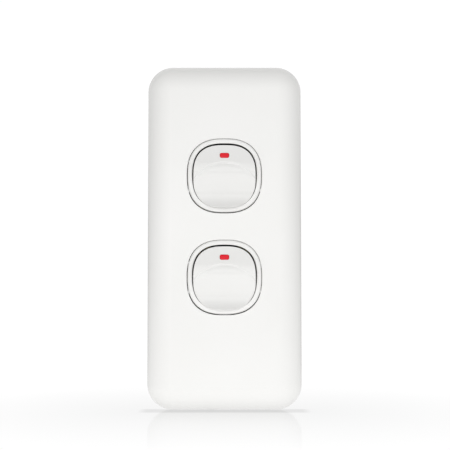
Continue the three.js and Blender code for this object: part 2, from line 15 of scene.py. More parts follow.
import bmesh
import bpy
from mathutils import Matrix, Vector


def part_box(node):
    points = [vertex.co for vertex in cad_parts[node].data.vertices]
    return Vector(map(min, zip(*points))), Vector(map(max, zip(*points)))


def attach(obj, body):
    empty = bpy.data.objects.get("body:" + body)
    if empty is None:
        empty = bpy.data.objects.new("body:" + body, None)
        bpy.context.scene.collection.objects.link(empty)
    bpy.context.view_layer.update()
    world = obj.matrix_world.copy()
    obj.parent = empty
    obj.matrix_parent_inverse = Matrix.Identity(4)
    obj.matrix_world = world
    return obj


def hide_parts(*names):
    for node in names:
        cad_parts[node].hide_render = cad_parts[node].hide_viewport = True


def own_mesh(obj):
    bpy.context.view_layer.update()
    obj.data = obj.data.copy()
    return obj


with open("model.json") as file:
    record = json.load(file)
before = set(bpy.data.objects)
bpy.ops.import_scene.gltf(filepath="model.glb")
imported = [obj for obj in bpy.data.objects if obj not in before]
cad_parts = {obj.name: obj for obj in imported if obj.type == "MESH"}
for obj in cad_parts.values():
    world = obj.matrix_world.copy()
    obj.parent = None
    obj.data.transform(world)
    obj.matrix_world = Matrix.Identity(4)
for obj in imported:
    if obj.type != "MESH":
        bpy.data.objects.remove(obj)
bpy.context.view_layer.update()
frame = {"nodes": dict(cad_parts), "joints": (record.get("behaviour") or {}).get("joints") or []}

log = logging.getLogger("wall_switch")

Point = tuple[float, float, float]
Colour = tuple[float, float, float]


def mm(value: float) -> float:
    """Turns millimetres to metres."""
    return value / 1000.0


def ease(share: float) -> float:
    """Goes from 0 to 1 smoothly, and stays there outside that span."""
    t = min(max(share, 0.0), 1.0)
    return t * t * (3 - 2 * t)


# ---- Modelling by operator ----


def clear_selection() -> None:
    """Leaves edit mode and deselects every object."""
    if bpy.context.object and bpy.context.object.mode != "OBJECT":
        bpy.ops.object.mode_set(mode="OBJECT")
    bpy.ops.object.select_all(action="DESELECT")


def take(piece: bpy.types.Object) -> None:
    """Makes one object the only selected one, and the active one.

    Args:
        piece: The object to work on.
    """
    clear_selection()
    piece.select_set(True)
    bpy.context.view_layer.objects.active = piece


@contextmanager
def editing(piece: bpy.types.Object) -> Iterator[bmesh.types.BMesh]:
    """Opens a piece in edit mode, with nothing selected, and closes it again.

    Args:
        piece: The mesh object to edit.

    Yields:
        The piece's edit mesh.
    """
    take(piece)
    bpy.ops.object.mode_set(mode="EDIT")
    bpy.ops.mesh.select_all(action="DESELECT")
    yield bmesh.from_edit_mesh(piece.data)
    bpy.ops.object.mode_set(mode="OBJECT")


def pick(mesh: bmesh.types.BMesh, kind: str, wanted: Callable[..., bool]) -> None:
    """Selects the faces or edges that pass a test, and only those.

    Args:
        mesh: The edit mesh.
        kind: FACE or EDGE.
        wanted: The test on one face or edge.
    """
    bpy.ops.mesh.select_mode(type=kind)
    bpy.ops.mesh.select_all(action="DESELECT")
    for element in mesh.faces if kind == "FACE" else mesh.edges:
        element.select_set(wanted(element))
    mesh.select_flush_mode()


def box_mm(node: str) -> tuple[Vector, Vector]:
    """Gives the lowest and highest corner of a CAD node, in millimetres."""
    low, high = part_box(node)
    return low * 1000, high * 1000


def finish_with(piece: bpy.types.Object, kind: str, **settings: object) -> None:
    """Adds a modifier, sets it and applies it.

    Args:
        piece: The mesh object.
        kind: The modifier's type.
        settings: Its properties by name.
    """
    take(piece)
    modifier = piece.modifiers.new(kind.title(), kind)
    for name, value in settings.items():
        setattr(modifier, name, value)
    bpy.ops.object.modifier_apply(modifier=modifier.name)


def cut_with(piece: bpy.types.Object, tool: bpy.types.Object, operation: str = "DIFFERENCE") -> None:
    """Cuts a piece with another object, or joins them, and removes the tool.

    Args:
        piece: The mesh object that stays.
        tool: The mesh object that is used up.
        operation: DIFFERENCE, UNION or INTERSECT.
    """
    finish_with(piece, "BOOLEAN", object=tool, operation=operation, solver="EXACT")
    bpy.data.meshes.remove(tool.data)


def ease_edges(piece: bpy.types.Object, width: float, sharp: float) -> None:
    """Bevels the edges of a moulding.

    Args:
        piece: The mesh object.
        width: How wide the bevel is, in millimetres.
        sharp: Edges sharper than this many degrees are bevelled.
    """
    finish_with(
        piece, "BEVEL", width=mm(width), segments=2, limit_method="ANGLE",
        angle_limit=math.radians(sharp), use_clamp_overlap=True,
    )


def settle(piece: bpy.types.Object, name: str, sharp: float) -> None:
    """Puts a piece's place into its mesh, shades it by angle and names it.

    Args:
        piece: The mesh object.
        name: Its final name.
        sharp: Edges sharper than this many degrees stay sharp.
    """
    take(piece)
    bpy.ops.object.transform_apply(location=True, rotation=True, scale=True)
    bpy.ops.object.shade_smooth_by_angle(angle=math.radians(sharp))
    piece.name = name
    piece.data.name = name


def set_at(model: bpy.types.Object, places: Sequence[Vector]) -> list[bpy.types.Object]:
    """Sets a model at several places, as copies that each have a mesh of their own.

    Args:
        model: The piece, modelled about the origin; it goes to the first place itself.
        places: Where the pieces go, in millimetres.

    Returns:
        The pieces, in the order of the places.
    """
    pieces = [model]
    for _ in places[1:]:
        take(model)
        bpy.ops.object.duplicate(linked=False)
        pieces.append(bpy.context.object)
    for piece, place in zip(pieces, places):
        piece.location = place / 1000
    return pieces


def block(low: Point, high: Point) -> bpy.types.Object:
    """Adds a box between two corners.

    Args:
        low: The lowest corner, in millimetres.
        high: The highest corner, in millimetres.

    Returns:
        The new object.
    """
    clear_selection()
    centre = [mm((a + b) / 2) for a, b in zip(low, high)]
    bpy.ops.mesh.primitive_cube_add(size=1, location=centre)
    piece = bpy.context.object
    piece.scale = [mm(b - a) for a, b in zip(low, high)]
    bpy.ops.object.transform_apply(location=True, rotation=False, scale=True)
    return piece


def bar(
    radius: float, low: float, high: float, axis: str, centre: tuple[float, float], sides: int = 48
) -> bpy.types.Object:
    """Adds a round bar along an axis.

    Args:
        radius: Its radius in millimetres.
        low: Where it starts along its axis.
        high: Where it ends along its axis.
        axis: X or Y.
        centre: Its place on the other two axes, in that order.
        sides: How many sides the round has.

    Returns:
        The new object.
    """
    clear_selection()
    middle = (low + high) / 2
    at = {"X": (middle, *centre), "Y": (centre[0], middle, centre[1])}[axis]
    turn = {"X": (0, math.pi / 2, 0), "Y": (math.pi / 2, 0, 0)}[axis]
    bpy.ops.mesh.primitive_cylinder_add(
        vertices=sides, radius=mm(radius), depth=mm(high - low),
        location=[mm(v) for v in at], rotation=turn,
    )
    piece = bpy.context.object
    bpy.ops.object.transform_apply(location=True, rotation=True, scale=True)
    return piece


@dataclass(frozen=True)
class Ring:
    """One rounded-square ring of a loft, square to the Y axis.

    Attributes:
        half: Half its width and height, in millimetres.
        power: The outline's power: 2 is a circle, and higher is squarer.
        y: Its place along Y, in millimetres.
        sink: How much further along Y its lower half lies.
    """

    half: float
    power: float
    y: float
    sink: float = 0.0

    def at(self, angle: float) -> Vector:
        """Gives the point of the ring at an angle.

        Args:
            angle: The angle from +X towards +Z, in radians.

        Returns:
            The point, in metres, round the Y axis.
        """
        c, s = math.cos(angle), math.sin(angle)
        reach = self.half / (abs(c) ** self.power + abs(s) ** self.power) ** (1 / self.power)
        y = self.y + self.sink * ease((1.5 - reach * s) / 4)
        return Vector((mm(reach * c), mm(y), mm(reach * s)))


def ring_loft(rings: Sequence[Ring], closed: bool, segments: int) -> bpy.types.Object:
    """Extrudes a circle's edge ring by ring and lays each new ring on its outline.

    Args:
        rings: The rings in order.
        closed: Whether the last ring joins the first, as in a frame; otherwise both ends are
            filled.
        segments: How many points each ring has.

    Returns:
        The new object, its centre on the Y axis.
    """
    clear_selection()
    fill = "NOTHING" if closed else "NGON"
    bpy.ops.mesh.primitive_circle_add(vertices=segments, radius=mm(rings[0].half), fill_type=fill)
    piece = bpy.context.object
    with editing(piece) as mesh:
        def lay(ring: Ring) -> None:
            """Lays the selected points on a ring, each at its own angle."""
            for vert in mesh.verts:
                if vert.select:
                    angle = math.atan2(vert.co.z, vert.co.x)
                    vert.co = ring.at(angle)

        bpy.ops.mesh.select_all(action="SELECT")
        for vert in mesh.verts:
            vert.co = Vector((vert.co.x, 0.0, vert.co.y))
        lay(rings[0])
        if closed:
            bpy.ops.mesh.select_mode(type="EDGE")
            for ring in rings[1:]:
                bpy.ops.mesh.extrude_edges_move()
                lay(ring)
            pick(mesh, "EDGE", lambda edge: edge.is_boundary)
            bpy.ops.mesh.bridge_edge_loops()
        else:
            bpy.ops.mesh.select_mode(type="FACE")
            for ring in rings[1:]:
                bpy.ops.mesh.extrude_region_move()
                lay(ring)
        bpy.ops.mesh.select_all(action="SELECT")
        bpy.ops.mesh.normals_make_consistent(inside=False)
    return piece


def turned_by_rings(
    rings: int, segments: int, place: Callable[[int, float], Vector]
) -> bpy.types.Object:
    """Lays the rings of a sphere, pole to pole, on a shape given ring by ring and angle by angle.

    Args:
        rings: How many rings lie between the poles.
        segments: How many points each ring has.
        place: Gives a point in millimetres for a ring, from 0 at the front pole, and an angle.

    Returns:
        The new closed object.
    """
    clear_selection()
    bpy.ops.mesh.primitive_uv_sphere_add(
        segments=segments, ring_count=rings + 1, radius=1, rotation=(math.pi / 2, 0, 0),
    )
    piece = bpy.context.object
    bpy.ops.object.transform_apply(location=True, rotation=True, scale=True)
    with editing(piece) as mesh:
        for vert in mesh.verts:
            polar = math.acos(max(-1.0, min(1.0, -vert.co.y)))
            step = round(polar / math.pi * (rings + 1))
            vert.co = place(step, math.atan2(vert.co.z, vert.co.x)) / 1000
        bpy.ops.mesh.select_all(action="SELECT")
        bpy.ops.mesh.normals_make_consistent(inside=False)
    return piece


def copy_of_node(node: str) -> bpy.types.Object:
    """Copies a CAD node into a new object at the origin, with its doubles merged.

    Args:
        node: The node's name.

    Returns:
        The new object, its flat parts freed of needless edges.
    """
    source = frame["nodes"][node]
    mesh = source.data.copy()
    mesh.transform(source.matrix_world)
    piece = bpy.data.objects.new(f"{node}_shape", mesh)
    bpy.context.scene.collection.objects.link(piece)
    with editing(piece):
        bpy.ops.mesh.select_all(action="SELECT")
        bpy.ops.mesh.remove_doubles(threshold=mm(0.004))
        bpy.ops.mesh.dissolve_limited(angle_limit=math.radians(1.0))
        bpy.ops.mesh.select_all(action="SELECT")
        bpy.ops.mesh.normals_make_consistent(inside=False)
    return piece


# ---- Shader maths ----


class Graph:
    """The node tree of a material or a world, with one method that adds any node."""

    def __init__(self, owner: bpy.types.Material | bpy.types.World) -> None:
        """Empties the node tree of a material or a world."""
        self.owner = owner
        owner.use_nodes = True
        self.tree = owner.node_tree
        self.tree.nodes.clear()

    @classmethod
    def of_material(cls, name: str) -> "Graph":
        """Starts a new material."""
        return cls(bpy.data.materials.new(name))

    def add(self, kind: str, settings: dict | None = None, **values: object) -> bpy.types.Node:
        """Adds a node.

        Args:
            kind: The node's type.
            settings: The node's own properties, set first.
            values: Values or links of its sockets, by name with _ for a space, or i and a number.

        Returns:
            The new node.
        """
        node = self.tree.nodes.new(kind)
        for key, value in (settings or {}).items():
            setattr(node, key, value)
        for key, value in values.items():
            numbered = key[0] == "i" and key[1:].isdigit()
            self.feed(node.inputs[int(key[1:]) if numbered else key.replace("_", " ")], value)
        return node

    def feed(self, spot: bpy.types.NodeSocket, value: object) -> None:
        """Sets a socket, or links it to another one.

        Args:
            spot: The input socket.
            value: A number, colour, vector, socket or wrapped socket.
        """
        if isinstance(value, Wire):
            self.tree.links.new(value.socket, spot)
        elif isinstance(value, bpy.types.NodeSocket):
            self.tree.links.new(value, spot)
        else:
            spot.default_value = value


@dataclass(frozen=True)
class Wire:
    """A socket that takes part in Python expressions; each operator adds a Math node."""

    graph: Graph
    socket: bpy.types.NodeSocket

    def _math(self, operation: str, a: object, b: object = 0.0) -> "Wire":
        """Adds a Math node on two values or wires."""
        node = self.graph.add("ShaderNodeMath", {"operation": operation}, i0=a, i1=b)
        return Wire(self.graph, node.outputs[0])

    def __add__(self, other: object) -> "Wire":
        """Adds."""
        return self._math("ADD", self, other)

    __radd__ = __add__

    def __mul__(self, other: object) -> "Wire":
        """Multiplies."""
        return self._math("MULTIPLY", self, other)

    __rmul__ = __mul__

    def __sub__(self, other: object) -> "Wire":
        """Subtracts."""
        return self._math("SUBTRACT", self, other)

    def __rsub__(self, other: object) -> "Wire":
        """Subtracts this from another value."""
        return self._math("SUBTRACT", other, self)

    def __truediv__(self, other: object) -> "Wire":
        """Divides."""
        return self._math("DIVIDE", self, other)

    def __abs__(self) -> "Wire":
        """Takes the size without its sign."""
        return self._math("ABSOLUTE", self)

    def __pow__(self, other: object) -> "Wire":
        """Raises to a power."""
        return self._math("POWER", self, other)

    def at_least(self, other: object) -> "Wire":
        """Takes the larger of this and another value."""
        return self._math("MAXIMUM", self, other)

    def limited(self, low: float, high: float) -> "Wire":
        """Maps the span from low to high onto 0 to 1 and clips the rest."""
        node = self.graph.add(
            "ShaderNodeMapRange", {"clamp": True}, Value=self, From_Min=low, From_Max=high,
        )
        return Wire(self.graph, node.outputs["Result"])


class Pattern:
    """Patterns on Object coordinates, in metres, for one material."""

    def __init__(self, graph: Graph) -> None:
        """Adds the coordinates and splits them."""
        self.graph = graph
        self.place = graph.add("ShaderNodeTexCoord").outputs["Object"]
        split = graph.add("ShaderNodeSeparateXYZ", Vector=self.place)
        self.x, self.y, self.z = (Wire(graph, split.outputs[i]) for i in range(3))

    def noise(self, per_metre: float, detail: float = 2.0, stretch: Point = (1, 1, 1)) -> Wire:
        """Gives fractal noise.

        Args:
            per_metre: How many bumps there are in a metre.
            detail: How many finer layers it has.
            stretch: A scale on each axis.

        Returns:
            The noise, about 0 to 1.
        """
        mapping = self.graph.add("ShaderNodeMapping", Vector=self.place, Scale=stretch)
        node = self.graph.add(
            "ShaderNodeTexNoise", Vector=mapping.outputs[0], Scale=per_metre, Detail=detail,
        )
        return Wire(self.graph, node.outputs["Fac"])

    def grains(self, per_metre: float) -> Wire:
        """Gives the distance to the nearest of scattered points."""
        node = self.graph.add("ShaderNodeTexVoronoi", Vector=self.place, Scale=per_metre)
        return Wire(self.graph, node.outputs["Distance"])

    def blend(self, amount: Wire, low: Colour, high: Colour) -> Wire:
        """Mixes two colours by an amount."""
        node = self.graph.add(
            "ShaderNodeMix", {"data_type": "RGBA"}, Factor=amount, i6=(*low, 1), i7=(*high, 1),
        )
        return Wire(self.graph, node.outputs[2])

    def bump(self, height: Wire, depth_mm: float) -> Wire:
        """Turns a height into a normal."""
        node = self.graph.add(
            "ShaderNodeBump", Height=height, Distance=mm(depth_mm), Strength=1.0,
        )
        return Wire(self.graph, node.outputs[0])


class Finish:
    """A finish that can be made into a material."""

    def sockets(self, pattern: Pattern) -> dict[str, object]:
        """Gives the values and wires of the surface's sockets."""
        raise NotImplementedError

    def make(self, name: str) -> bpy.types.Material:
        """Builds the material.

        Args:
            name: The material's name.

        Returns:
            The finished material.
        """
        graph = Graph.of_material(name)
        surface = graph.add("ShaderNodeBsdfPrincipled", **self.sockets(Pattern(graph)))
        graph.add("ShaderNodeOutputMaterial", Surface=surface.outputs[0])
        return graph.owner


@dataclass(frozen=True)
class GlossMoulding(Finish):
    """A polished white moulding: faint orange peel, and haze that varies slowly over the face."""

    colour: Colour
    tint: Colour
    roughness: float
    peel_mm: float = 0.006

    def sockets(self, pattern: Pattern) -> dict[str, object]:
        """Gives the values and wires of the surface's sockets."""
        cloud = pattern.noise(38, 3)
        haze = pattern.noise(160, 4)
        dust = 1 - pattern.grains(900).limited(0.03, 0.09)
        rough = self.roughness + (haze - 0.5) * 0.06 + dust * 0.08
        peel = pattern.noise(520, 1) * 0.8 + pattern.noise(2600, 1) * 0.2
        return dict(
            Base_Color=pattern.blend(cloud.limited(0.35, 0.65), self.colour, self.tint),
            Roughness=rough,
            IOR=1.49,
            Normal=pattern.bump(peel, self.peel_mm),
        )


@dataclass(frozen=True)
class RedLens(Finish):
    """A clear red insert, darker where its edge turns away from the light."""

    centre: tuple[float, float]
    reach: tuple[float, float]
    colour: Colour = (0.76, 0.006, 0.020)
    edge: Colour = (0.40, 0.004, 0.010)

    def sockets(self, pattern: Pattern) -> dict[str, object]:
        """Gives the values and wires of the surface's sockets."""
        across = abs(pattern.x - mm(self.centre[0])) / mm(self.reach[0])
        along = abs(pattern.z - mm(self.centre[1])) / mm(self.reach[1])
        rim = (across ** 6 + along ** 6).limited(0.25, 1.15)
        return dict(
            Base_Color=pattern.blend(rim, self.colour, self.edge),
            Roughness=0.22 + pattern.noise(900) * 0.05,
            Specular_IOR_Level=0.3,
            Normal=pattern.bump(pattern.noise(1400), 0.01),
        )


@dataclass(frozen=True)
class SatinMoulding(Finish):
    """A satin moulding with a fine spark-eroded grain and faint flow clouds."""

    colour: Colour
    tint: Colour
    roughness: float
    grain_mm: float = 0.02

    def sockets(self, pattern: Pattern) -> dict[str, object]:
        """Gives the values and wires of the surface's sockets."""
        cloud = pattern.noise(60, 4)
        grain = pattern.noise(5200, 3)
        return dict(
            Base_Color=pattern.blend(cloud.limited(0.3, 0.7), self.colour, self.tint),
            Roughness=self.roughness + (pattern.noise(240, 3) - 0.5) * 0.16,
            Normal=pattern.bump(grain, self.grain_mm),
        )


@dataclass(frozen=True)
class WorkedMetal(Finish):
    """Bare or plated metal with fine draw lines and a patchy tarnish."""

    colour: Colour
    tarnish: Colour
    roughness: float
    lines: Point = (1.0, 12.0, 12.0)

    def sockets(self, pattern: Pattern) -> dict[str, object]:
        """Gives the values and wires of the surface's sockets."""
        patches = pattern.noise(240, 4).limited(0.42, 0.78)
        lines = pattern.noise(900, 3, self.lines)
        return dict(
            Base_Color=pattern.blend(patches, self.colour, self.tarnish),
            Metallic=1.0,
            Roughness=self.roughness + (lines - 0.5) * 0.18 + patches * 0.1,
            Normal=pattern.bump(lines, 0.012),
        )


class Look(Enum):
    """The finishes of this switch, by the record's material slot."""

    COVER = "cover_gloss"
    BEZEL = "bezel_gloss"
    ROCKER = "rocker_gloss"
    INDICATOR = "indicator_red"
    GRID = "grid_moulding"
    CASE = "case_moulding"
    STEEL = "plated_steel"
    BRASS = "terminal_brass"
    SILVER = "contact_silver"
    SPRING = "spring_steel"
    NYLON = "plunger_nylon"


WHITE = (0.845, 0.842, 0.828)
WHITE_TINT = (0.835, 0.832, 0.815)
# Painted shade: the rocker's white is the cover's white darkened by a twentieth, standing in for the
# shade on the rocker.
ROCKER_SHADED_WHITE = tuple(0.95 * share for share in WHITE)
ROCKER_SHADED_TINT = tuple(0.95 * share for share in WHITE_TINT)

FINISHES = {
    Look.COVER: GlossMoulding(WHITE, WHITE_TINT, 0.17),
    Look.BEZEL: GlossMoulding(WHITE, WHITE_TINT, 0.15, 0.004),
    Look.ROCKER: GlossMoulding(ROCKER_SHADED_WHITE, ROCKER_SHADED_TINT, 0.16, 0.004),
    Look.GRID: SatinMoulding((0.58, 0.58, 0.56), (0.53, 0.53, 0.515), 0.48),
    Look.CASE: SatinMoulding((0.016, 0.016, 0.017), (0.024, 0.023, 0.022), 0.42),
    Look.STEEL: WorkedMetal((0.60, 0.61, 0.63), (0.46, 0.45, 0.42), 0.30),
    Look.BRASS: WorkedMetal((0.72, 0.50, 0.20), (0.50, 0.33, 0.14), 0.30),
    Look.SILVER: WorkedMetal((0.80, 0.80, 0.80), (0.55, 0.53, 0.50), 0.24),
    Look.SPRING: WorkedMetal((0.42, 0.42, 0.44), (0.30, 0.29, 0.28), 0.32),
    Look.NYLON: SatinMoulding((0.78, 0.74, 0.64), (0.74, 0.70, 0.60), 0.40),
}


class Paints:
    """Makes each finish once and puts it on pieces."""

    def __init__(self) -> None:
        """Starts with nothing made."""
        self.made: dict[str, bpy.types.Material] = {}

    def material(self, look: Look) -> bpy.types.Material:
        """Gives the material of a look, made on first use."""
        if look.value not in self.made:
            self.made[look.value] = FINISHES[look].make(look.value)
        return self.made[look.value]

    def complete(
        self, piece: bpy.types.Object, name: str, look: Look, body: str, node: str = "",
        sharp: float = 32.0, finish: bpy.types.Material | None = None,
    ) -> None:
        """Settles a new piece, dresses it and fits it into the frame.

        Args:
            piece: The new piece.
            name: Its final name.
            look: Its finish.
            body: The body that carries it.
            node: The CAD node that it stands for, if it stands for one.
            sharp: Edges sharper than this many degrees stay sharp.
            finish: A material of the piece's own, in place of the look's shared one.
        """
        settle(piece, name, sharp)
        piece.data.materials.clear()
        piece.data.materials.append(finish or self.material(look))
        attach(piece, body)
        if node:
            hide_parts(node)
        log.info("%s: %d faces", piece.name, len(piece.data.polygons))

    def dress_node(self, node: str, look: Look) -> None:
        """Puts a look on a CAD node that stays."""
        piece = frame["nodes"][node]
        for slot in piece.material_slots:
            slot.material = self.material(look)


# ---- Sub-assemblies ----


GANGS = ("upper", "lower")
GANG_PLACES = [
    Vector((0, 0, (low.z + high.z) / 2)) for low, high in (box_mm(f"case_{g}") for g in GANGS)
]


@dataclass
class CoverMoulding:
    """The glossy cover: skirt, pillow shoulder, flat front and two rounded-square openings."""

    paints: Paints
    corner: float = 8.5
    skirt: float = 3.3
    shoulder: float = 8.0
    shoulder_power: float = 1.75
    shoulder_steps: int = 22
    wall: float = 2.0
    front_wall: float = 1.3
    inner_skirt: float = 2.6
    inner_steps: int = 12
    opening_gap: float = 0.23
    opening_play: tuple[float, float] = (-0.04, -0.13)
    opening_round: float = 0.22
    clip_inset: float = 2.6
    clip_thick: float = 1.2
    clip_width: float = 6.0
    clip_bead: float = 0.45
    clip_heights: tuple[float, float] = (-26.5, 33.5)

    def outline(self) -> bpy.types.Object:
        """Makes the rounded rectangle that the skirt stands on, facing the front.

        Returns:
            The flat new object.
        """
        low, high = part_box("cover_plate")
        clear_selection()
        bpy.ops.mesh.primitive_plane_add(
            size=1, location=(0, high.y, 0), rotation=(math.pi / 2, 0, 0),
        )
        piece = bpy.context.object
        piece.scale = (high.x - low.x, high.z - low.z, 1)
        bpy.ops.object.transform_apply(location=True, rotation=True, scale=True)
        with editing(piece):
            bpy.ops.mesh.select_all(action="SELECT")
            bpy.ops.mesh.bevel(offset=mm(self.corner), segments=28, affect="VERTICES")
        return piece

    def crown(self, width: float, depth: float, steps: int) -> None:
        """Insets and raises the selected face along the shoulder's curve.

        Args:
            width: How far the round runs in, in millimetres.
            depth: How far it rises, in millimetres.
            steps: How many strips make the round.
        """
        def place(i: int) -> tuple[float, float]:
            """Gives the run and the rise after a number of strips."""
            run = 1 - math.cos(math.pi / 2 * i / steps)
            power = self.shoulder_power
            return width * run, depth * (1 - (1 - run) ** power) ** (1 / power)

        for i in range(steps):
            (run, rise), (next_run, next_rise) = place(i), place(i + 1)
            bpy.ops.mesh.inset(
                thickness=mm(next_run - run), depth=mm(next_rise - rise), use_even_offset=True,
            )

    def body(self) -> bpy.types.Object:
        """Makes the hollow pillow, still without openings.

        Returns:
            The new object.
        """
        low, high = box_mm("cover_plate")
        depth = high.y - low.y - self.skirt
        piece = self.outline()
        with editing(piece) as mesh:
            bpy.ops.mesh.select_all(action="SELECT")
            bpy.ops.mesh.extrude_region_move(
                TRANSFORM_OT_translate={"value": (0, -mm(self.skirt), 0)},
            )
            self.crown(self.shoulder, depth, self.shoulder_steps)
            bpy.ops.mesh.select_mode(type="EDGE")
            pick(mesh, "EDGE", lambda edge: edge.is_boundary)
            bpy.ops.mesh.edge_face_add()
            pick(mesh, "FACE", lambda face: face.calc_center_median().y > mm(high.y - 0.01))
            bpy.ops.mesh.inset(thickness=mm(self.wall), use_even_offset=True)
            bpy.ops.mesh.extrude_region_move(
                TRANSFORM_OT_translate={"value": (0, -mm(self.inner_skirt), 0)},
            )
            self.crown(self.shoulder - self.wall, self.front_wall - depth, self.inner_steps)
            bpy.ops.mesh.select_all(action="SELECT")
            bpy.ops.mesh.normals_make_consistent(inside=False)
        return piece

    def build(self, front: "MechanismFront") -> None:
        """Builds the cover.

        Args:
            front: The bezels that its openings are for.
        """
        piece = self.body()
        half = front.ring_half + self.opening_gap
        for place in GANG_PLACES:
            tool = ring_loft([Ring(half, front.ring_power, y) for y in (-20, 0)], False, 144)
            tool.location.x = mm(self.opening_play[0])
            tool.location.z = mm(place.z + self.opening_play[1])
            cut_with(piece, tool)
        self.add_clips(piece)
        settle(piece, "cover_shell", 32)  # marks the sharp edges, which keeps the front's shading flat
        self.round_openings(piece)
        self.paints.complete(piece, "cover_shell", Look.COVER, "cover", "cover_plate")

    def round_openings(self, piece: bpy.types.Object) -> None:
        """Rounds the front edge of each opening."""
        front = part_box("cover_plate")[0].y

        def on_opening(edge: bmesh.types.BMEdge) -> bool:
            """Tells whether an edge runs between the flat front and an opening's wall."""
            flat = all(abs(v.co.y - front) < mm(0.01) for v in edge.verts)
            turn = len(edge.link_faces) == 2 and edge.calc_face_angle(0.0) > math.radians(60)
            return flat and turn

        with editing(piece) as mesh:
            pick(mesh, "EDGE", on_opening)
            bpy.ops.mesh.bevel(offset=mm(self.opening_round), segments=4, affect="EDGES")

    def add_clips(self, piece: bpy.types.Object) -> None:
        """Joins the four beaded clip arms to the inside of the cover."""
        low, high = box_mm("cover_plate")
        arm_x = (high.x - low.x) / 2 - self.wall - self.clip_inset
        half = self.clip_thick / 2
        for side in (-1, 1):
            for z in self.clip_heights:
                z0, z1 = z - self.clip_width / 2, z + self.clip_width / 2
                x0, x1 = sorted((side * (arm_x - half), side * (arm_x + half)))
                b0, b1 = sorted((side * (arm_x - half), side * (arm_x + half + self.clip_bead)))
                arm = block((x0, -8.0, z0), (x1, -0.3, z1))
                cut_with(arm, block((b0, -1.1, z0 + 0.02), (b1, -0.32, z1 - 0.02)), "UNION")
                cut_with(piece, arm, "UNION")


